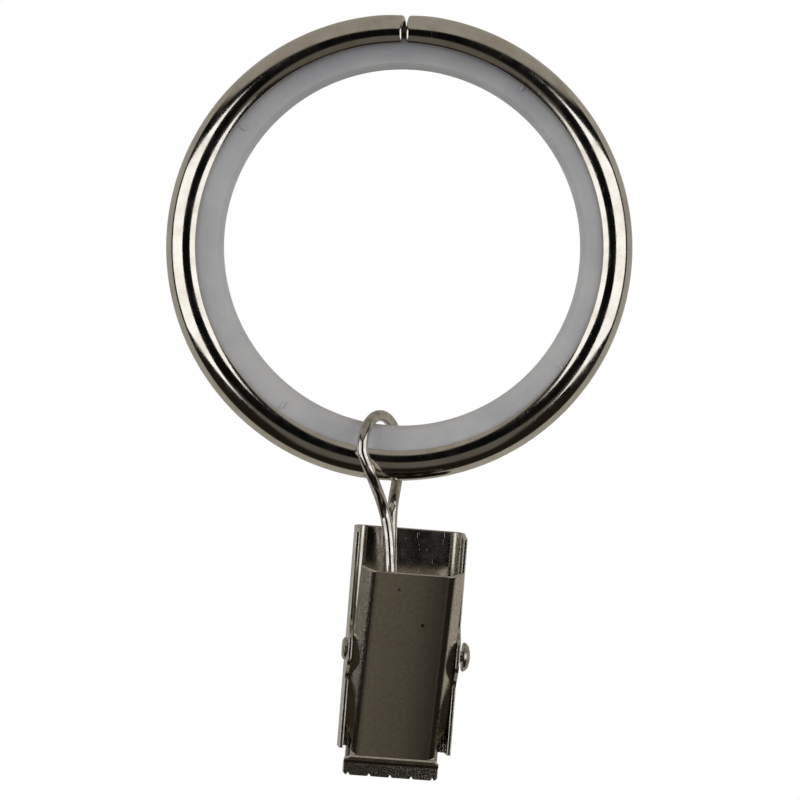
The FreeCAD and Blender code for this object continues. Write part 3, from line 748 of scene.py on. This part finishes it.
@dataclass
class RingShell:
    """The rolled nickel tube, open towards the ring's centre and butted near the top."""

    shelf: MaterialShelf
    core_mm: float = 23.95
    tube_mm: float = 2.25
    wall_mm: float = 0.4
    lip_degrees: float = 27.8
    gap_mm: float = 0.5
    slant: float = -0.12
    lean_degrees: float = 1.9
    dimple_mm: float = 0.10
    dimple_length_mm: float = 1.6
    edge_mm: float = 0.26
    outer_steps: int = 56
    inner_steps: int = 40
    lip_steps: int = 8
    spans: int = 420
    end_spans: int = 10
    end_reach: float = 1.2
    end_crowding: float = 1.5

    def lip(self, angle: float, start: float) -> list[Band]:
        """Return the half circle that rounds one lip, without its two ends.

        Args:
            angle: where the lip is on the tube, in degrees.
            start: the half circle's first angle in degrees.

        Returns:
            (width, outward) pairs in millimetres.
        """
        middle, place = self.tube_mm - self.wall_mm / 2, math.radians(angle)
        centre = (middle * math.cos(place), middle * math.sin(place))
        return arc_points(centre, self.wall_mm / 2, start, start + 180, self.lip_steps)[1:-1]

    def section(self) -> list[Band]:
        """Return the gutter's outline, lips rounded.

        Returns:
            (width, outward) pairs in millimetres.
        """
        lip = self.lip_degrees
        inner = self.tube_mm - self.wall_mm
        outer_arc = arc_points((0, 0), self.tube_mm, -lip, 180 + lip, self.outer_steps)
        inner_arc = arc_points((0, 0), inner, 180 + lip, -lip, self.inner_steps)
        left, right = self.lip(180 + lip, 180 + lip), self.lip(-lip, 180 - lip)
        return outer_arc + left + inner_arc + right

    def stations(self) -> list[float]:
        """Return where the sections stand along the strip, closer together at both ends.

        Returns:
            Distances from the first end in millimetres.
        """
        length = 2 * math.pi * self.core_mm - self.gap_mm
        reach = self.edge_mm * self.end_reach
        near = [
            reach * (step / self.end_spans) ** self.end_crowding
            for step in range(self.end_spans)
        ]
        middle = [
            reach + (length - 2 * reach) * step / self.spans for step in range(self.spans + 1)
        ]
        return near + middle + [length - distance for distance in reversed(near)]

    def build(self) -> None:
        """Sweep the section round the ring and turn the two butted ends in."""
        section = self.section()
        stations = self.stations()
        top = math.radians(90 - self.lean_degrees)
        points = []
        for distance in stations:
            from_end = min(distance, stations[-1] - distance)
            sink = self.dimple_mm * math.exp(-(from_end / self.dimple_length_mm) ** 2)
            rounding = max(0.0, self.edge_mm - from_end)
            sink += self.edge_mm - math.sqrt(self.edge_mm ** 2 - rounding ** 2)
            shrink = 1 - sink / self.tube_mm
            for across, outward in section:
                shift = self.gap_mm / 2 + self.slant * across
                angle = top + (distance + shift) / self.core_mm
                reach = self.core_mm + outward * shrink
                points.append((
                    reach * math.cos(angle) * MM,
                    across * shrink * MM,
                    reach * math.sin(angle) * MM,
                ))
        faces = closed_grid(len(stations), len(section), False)
        piece = mesh_piece(
            "rolled_ring", points, faces, self.shelf.take(Finish.BRIGHT_NICKEL),
            sharp_degrees=60,
        )
        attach(piece, "ring")
        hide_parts("ring_shell")
        LOG.info("rolled ring: %d points", len(points))


@dataclass
class Liner:
    """The moulded nylon strip that lines the bore."""

    shelf: MaterialShelf
    bore_mm: float = 20.0
    shift_mm: float = 0.31
    crown_half_mm: float = 1.5
    crown_height_mm: float = 0.7
    neck_half_mm: float = 1.55
    bead_half_mm: float = 1.75
    mouth_mm: float = 22.69
    bead_mm: Place = (23.84, 24.03, 24.79)
    bead_taper: float = 0.7
    nose_steps: int = 22
    rib_first_degrees: float = 53.0
    rib_count: int = 4
    rib_radii_mm: Place = (21.8, 22.0, 22.6)
    rib_proud_mm: float = 0.2
    rib_half_thick_mm: float = 0.14
    rib_nose_inset_mm: float = 0.08
    rib_nose_taper: float = 0.8
    spans: int = 360

    def section(self) -> list[Band]:
        """Return the liner's outline: crown, neck and bead.

        Returns:
            (width, radius) pairs in millimetres.
        """
        crown = (self.crown_half_mm ** 2 + self.crown_height_mm ** 2) / (2 * self.crown_height_mm)
        middle = self.bore_mm + crown
        half = math.degrees(math.asin(self.crown_half_mm / crown))
        nose = arc_points((0, middle), crown, 270 - half, 270 + half, self.nose_steps)
        flank = [
            (self.neck_half_mm, self.mouth_mm),
            (self.neck_half_mm, self.bead_mm[0]),
            (self.bead_half_mm, self.bead_mm[1]),
            (self.bead_taper * self.bead_half_mm, self.bead_mm[2]),
        ]
        return nose + flank + [(-across, radius) for across, radius in reversed(flank)]

    def build(self) -> None:
        """Turn the section round the bore and add the moulded ribs."""
        section = self.section()
        points = []
        for span in range(self.spans):
            angle = 2 * math.pi * span / self.spans
            for across, radius in section:
                points.append((
                    (self.shift_mm + radius * math.cos(angle)) * MM,
                    across * MM,
                    radius * math.sin(angle) * MM,
                ))
        faces = closed_grid(self.spans, len(section), True)
        nylon = self.shelf.take(Finish.WHITE_NYLON)
        piece = mesh_piece("nylon_liner", points, faces, nylon, sharp_degrees=60)
        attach(piece, "ring")
        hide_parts("liner")
        for number in range(self.rib_count):
            self.build_rib(number, nylon)
        LOG.info("nylon liner: %d points", len(points))

    def build_rib(self, number: int, nylon: Material) -> None:
        """Add one rib that stands a little proud of both flanks.

        Args:
            number: which rib, counted anticlockwise from the first.
            nylon: the liner's material.
        """
        angle = math.radians(self.rib_first_degrees + 360 * number / self.rib_count)
        half_wide = self.neck_half_mm + self.rib_proud_mm
        nose, full, end = self.rib_radii_mm
        points = []
        for radius, inset, taper in (
            (nose, self.rib_nose_inset_mm, self.rib_nose_taper), (full, 0.0, 1.0), (end, 0.0, 1.0),
        ):
            for across, along in ((-1, -1), (1, -1), (1, 1), (-1, 1)):
                beside = along * self.rib_half_thick_mm * taper
                points.append((
                    (self.shift_mm + radius * math.cos(angle) - beside * math.sin(angle)) * MM,
                    across * (half_wide - inset) * MM,
                    (radius * math.sin(angle) + beside * math.cos(angle)) * MM,
                ))
        faces = closed_grid(3, 4, False)
        rib = mesh_piece(f"liner_rib_{number + 1}", points, faces, nylon)
        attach(rib, "ring")
        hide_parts("liner")


@dataclass
class WireLink:
    """The bent wire that hangs on the ring, drawn with the soft bends of hand-formed wire.

    Each corner of the wire's run is its place and how far before and after it the bend reaches,
    all in millimetres, from one end in the clip's eye over the arch to the other end.
    """

    shelf: MaterialShelf
    radius_mm: float = 0.62
    sides: int = 24
    bend_steps: int = 16
    closest_mm: float = 0.002
    start_mm: Place = (-1.125, -0.257, -46.712)
    end_mm: Place = (-1.147, -0.008, -46.712)
    corners: tuple[tuple[float, float, float, float, float], ...] = (
        (-1.020, -1.458, -46.712, 1.131, 1.131),
        (-0.870, -1.444, -44.838, 0.15, 0.15),
        (-0.774, -0.753, -42.894, 0.23, 0.23),
        (-1.154, -0.638, -32.076, 2.5, 1.5),
        (-1.800, -0.715, -28.976, 1.5, 2.4),
        (-3.150, -4.044, -25.376, 2.4, 1.2),
        (-4.114, -4.169, -23.076, 1.2, 0.42),
        (-4.114, -4.169, -18.876, 3.77, 4.55),
        (-0.226, 4.169, -18.876, 4.55, 3.77),
        (-0.226, 4.169, -23.076, 0.42, 1.1),
        (-0.120, 4.044, -25.476, 1.2, 2.2),
        (-0.800, 0.715, -29.176, 2.2, 1.4),
        (-0.906, 0.638, -32.076, 1.4, 2.5),
        (-0.887, 0.542, -42.894, 0.23, 0.23),
        (-1.102, 1.205, -44.838, 0.15, 0.15),
        (-1.252, 1.192, -46.712, 1.131, 1.131),
    )

    def bend(
        self, before: Vector, corner: Vector, after: Vector, reach_in: float, reach_out: float,
    ) -> list[Vector]:
        """Return points along one bend.

        Args:
            before: the corner before.
            corner: the corner that is rounded.
            after: the corner after.
            reach_in: where the bend starts, before the corner.
            reach_out: where the bend ends, after the corner.

        Returns:
            Places along the bend.
        """
        inward = (before - corner).normalized()
        outward = (after - corner).normalized()
        first = corner + inward * reach_in
        last = corner + outward * reach_out
        weight = math.sin(inward.angle(outward) / 2)
        places = []
        for step in range(self.bend_steps + 1):
            share = step / self.bend_steps
            lead, pull, trail = (1 - share) ** 2, 2 * share * (1 - share) * weight, share ** 2
            places.append((first * lead + corner * pull + last * trail) / (lead + pull + trail))
        return places

    def run(self) -> list[Vector]:
        """Return the wire's middle line with its bends.

        Returns:
            Places in millimetres.
        """
        stops = [Vector(self.start_mm)]
        stops += [Vector(corner[:3]) for corner in self.corners]
        stops.append(Vector(self.end_mm))
        line = [stops[0]]
        for number, corner in enumerate(self.corners, start=1):
            line += self.bend(
                stops[number - 1], stops[number], stops[number + 1], corner[3], corner[4]
            )
        line.append(stops[-1])
        return [
            place for number, place in enumerate(line)
            if number == 0 or (place - line[number - 1]).length > self.closest_mm
        ]

    def build(self) -> None:
        """Sweep a round section along the run without twist."""
        line = self.run()
        across = (line[1] - line[0]).orthogonal().normalized()
        points = []
        for number, place in enumerate(line):
            ahead = line[min(number + 1, len(line) - 1)] - line[max(number - 1, 0)]
            ahead.normalize()
            across = (across - ahead * across.dot(ahead)).normalized()
            beside = ahead.cross(across)
            for side in range(self.sides):
                angle = 2 * math.pi * side / self.sides
                point = place + self.radius_mm * (
                    across * math.cos(angle) + beside * math.sin(angle)
                )
                points.append(tuple(point * MM))
        piece = mesh_piece(
            "bent_wire", points, closed_grid(len(line), self.sides, False),
            self.shelf.take(Finish.NICKEL_WIRE), sharp_degrees=60,
        )
        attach(piece, "link")
        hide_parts("wire_link")
        LOG.info("bent wire: %d points", len(points))


@dataclass
class JawBends:
    """The wide inner bends of the back jaw, from the open top down to the pin.

    Lengths are in millimetres in the clip's own frame: across, depth away from the front, up.
    """

    shelf: MaterialShelf
    clip: ClipPlace = ClipPlace()
    half_inside_mm: float = 5.88
    inside_depth_mm: float = 3.78
    bend_mm: float = 1.15
    low_mm: float = 4.5
    high_mm: float = 13.86
    steps: int = 14

    def build(self) -> None:
        """Add the left and the right bend."""
        for side, name in ((-1, "jaw_bend_left"), (1, "jaw_bend_right")):
            middle = (self.half_inside_mm - self.bend_mm, self.inside_depth_mm - self.bend_mm)
            section = arc_points(middle, self.bend_mm, 0, 90, self.steps)
            section.append((self.half_inside_mm, self.inside_depth_mm))
            points = []
            for level in (self.low_mm, self.high_mm):
                for across, depth in section[::side]:
                    points.append(tuple(self.clip.point(side * across, depth, level) * MM))
            piece = mesh_piece(
                name, points, closed_grid(2, len(section), False),
                self.shelf.take(Finish.BRIGHT_SHEET), sharp_degrees=50,
            )
            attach(piece, "clip")
            LOG.info("%s: %d points", name, len(points))


@dataclass
class FrameNodes:
    """The finish of every CAD node, also of the three that dressed pieces replace."""

    shelf: MaterialShelf
    finishes: dict[str, Finish] = field(default_factory=lambda: {
        "wire_link": Finish.NICKEL_WIRE,
        "back_jaw": Finish.BRIGHT_SHEET,
        "front_jaw": Finish.SATIN_SHEET,
        "rivet": Finish.NICKEL_RIVET,
        "torsion_spring": Finish.SPRING_STEEL,
        "ring_shell": Finish.BRIGHT_NICKEL,
        "liner": Finish.WHITE_NYLON,
    })

    def build(self) -> None:
        """Give every CAD node its material."""
        for name, finish in self.finishes.items():
            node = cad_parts[name]
            node.data.materials.clear()
            node.data.materials.append(self.shelf.take(finish))
            LOG.info("node %s: %s", name, finish.name)


@dataclass(frozen=True)
class SoftBox:
    """A soft studio light beside the camera, in metres, that faces the middle of the object."""

    name: str
    azimuth: float
    elevation: float = 3.5
    distance: float = 0.6
    width: float = 0.68
    height: float = 0.52
    radiance: float = 1.35
    aim: Place = (0.0, 0.0, -0.017)

    def build(self) -> None:
        """Place the light so that it faces the object."""
        lamp = bpy.data.lights.new(self.name, "AREA")
        lamp.shape = "RECTANGLE"
        lamp.size = self.width
        lamp.size_y = self.height
        lamp.energy = self.radiance * math.pi * self.width * self.height
        lamp.color = (1.0, 1.0, 1.0)
        holder = bpy.data.objects.new(self.name, lamp)
        turn, lift = math.radians(self.azimuth), math.radians(self.elevation)
        centre = Vector(self.aim)
        holder.location = centre + self.distance * Vector((
            math.sin(turn) * math.cos(lift), -math.cos(turn) * math.cos(lift), math.sin(lift),
        ))
        holder.rotation_euler = (centre - holder.location).to_track_quat("-Z", "Y").to_euler()
        holder.visible_camera = False
        bpy.context.scene.collection.objects.link(holder)


@dataclass
class Studio:
    """A dim studio: pale behind the object, dark on the camera's side, two soft boxes.

    The room is painted on directions of length 1. Each band says at which share of a direction
    up, aside or away from the camera a colour starts and where it is full.
    """

    dark: str = "0b0b0a"
    below: str = "221c16"
    table: str = "625e57"
    backdrop: str = "a8a49c"
    overhead: str = "a09b93"
    below_band: Band = (-0.25, -0.6)
    table_far_band: Band = (-0.12, -0.24)
    table_near_band: Band = (-0.78, -0.6)
    table_side_band: Band = (0.42, 0.28)
    backdrop_band: Band = (0.0, 0.10)
    overhead_band: Band = (0.44, 0.56)
    overhead_bow: float = -0.22
    lens_mm: float = 200.0
    nearest: float = 0.01
    farthest: float = 20.0
    pixels_per_mm: float = 8.9
    picture_width: int = 800
    view_middle: Place = (0.00008, 0.0, -0.01713)
    boxes: tuple[SoftBox, ...] = (SoftBox("left_box", -51.5), SoftBox("right_box", 51.5))

    def room(self, tree: Tree) -> Socket:
        """Return the colour that each direction of the room has.

        Args:
            tree: the world's node tree.

        Returns:
            The colour socket.
        """
        direction = add_node(tree, "ShaderNodeTexCoord").outputs["Generated"]
        parts = add_node(tree, "ShaderNodeSeparateXYZ", {}, {"Vector": direction})
        up, away = parts.outputs["Z"], parts.outputs["Y"]
        aside = add_node(
            tree, "ShaderNodeMath", {"operation": "ABSOLUTE"}, {0: parts.outputs["X"]},
        ).outputs[0]
        bowed = add_node(
            tree, "ShaderNodeMath", {"operation": "MULTIPLY_ADD", 1: self.overhead_bow},
            {0: aside, 2: up},
        ).outputs[0]
        below, far, near, beside, behind, above = (
            add_node(
                tree, "ShaderNodeMapRange",
                {"interpolation_type": "SMOOTHSTEP", "From Min": start, "From Max": full},
                {"Value": source},
            ).outputs["Result"]
            for source, (start, full) in (
                (up, self.below_band), (up, self.table_far_band), (up, self.table_near_band),
                (aside, self.table_side_band), (away, self.backdrop_band),
                (bowed, self.overhead_band),
            )
        )
        deep = add_node(tree, "ShaderNodeMath", {"operation": "MULTIPLY"}, {0: far, 1: near})
        tabletop = add_node(
            tree, "ShaderNodeMath", {"operation": "MULTIPLY"}, {0: deep.outputs[0], 1: beside},
        )
        base = add_node(tree, "ShaderNodeRGB")
        base.outputs["Color"].default_value = linear(self.dark)
        colour = base.outputs["Color"]
        for share, layer in (
            (below, self.below), (tabletop.outputs[0], self.table), (behind, self.backdrop),
            (above, self.overhead),
        ):
            colour = add_node(
                tree, "ShaderNodeMix", {"data_type": "RGBA", 7: linear(layer)},
                {"Factor": share, 6: colour},
            ).outputs[2]
        return colour

    def build_world(self) -> None:
        """Make the surroundings: white to the camera, the dim room to everything else."""
        world = bpy.data.worlds.new("studio")
        world.use_nodes = True
        bpy.context.scene.world = world
        tree = world.node_tree
        tree.nodes.clear()
        dim = add_node(
            tree, "ShaderNodeBackground", {"Strength": 1.0}, {"Color": self.room(tree)},
        )
        white = add_node(
            tree, "ShaderNodeBackground", {"Color": (1, 1, 1, 1), "Strength": 1.0},
        )
        path = add_node(tree, "ShaderNodeLightPath")
        shown = add_node(
            tree, "ShaderNodeMixShader", {},
            {
                0: path.outputs["Is Camera Ray"],
                1: dim.outputs["Background"], 2: white.outputs["Background"],
            },
        )
        output = add_node(tree, "ShaderNodeOutputWorld")
        tree.links.new(shown.outputs["Shader"], output.inputs["Surface"])

    def build_camera(self) -> None:
        """Place a long lens square to the ring, as in the photograph."""
        lens = bpy.data.cameras.new("camera")
        lens.lens = self.lens_mm
        lens.clip_start = self.nearest
        lens.clip_end = self.farthest
        camera = bpy.data.objects.new("camera", lens)
        width_mm = self.picture_width / self.pixels_per_mm
        distance = width_mm * MM * self.lens_mm / lens.sensor_width
        camera.location = Vector(self.view_middle) - Vector((0.0, distance, 0.0))
        camera.rotation_euler = (math.radians(90), 0, 0)
        bpy.context.scene.collection.objects.link(camera)
        bpy.context.scene.camera = camera

    def build(self) -> None:
        """Build the surroundings, the lights and the camera."""
        self.build_world()
        for box in self.boxes:
            box.build()
        self.build_camera()
        bpy.context.scene.view_settings.view_transform = "Standard"
        LOG.info("studio ready")


def main() -> None:
    """Build the looks of the whole ring."""
    logging.basicConfig(level=logging.INFO, format="%(name)s %(message)s")
    shelf = MaterialShelf()
    pieces = (FrameNodes(shelf), RingShell(shelf), Liner(shelf), WireLink(shelf), JawBends(shelf))
    for assembly in (*pieces, Studio()):
        assembly.build()
    bpy.context.view_layer.update()


if __name__ == "__main__":
    main()
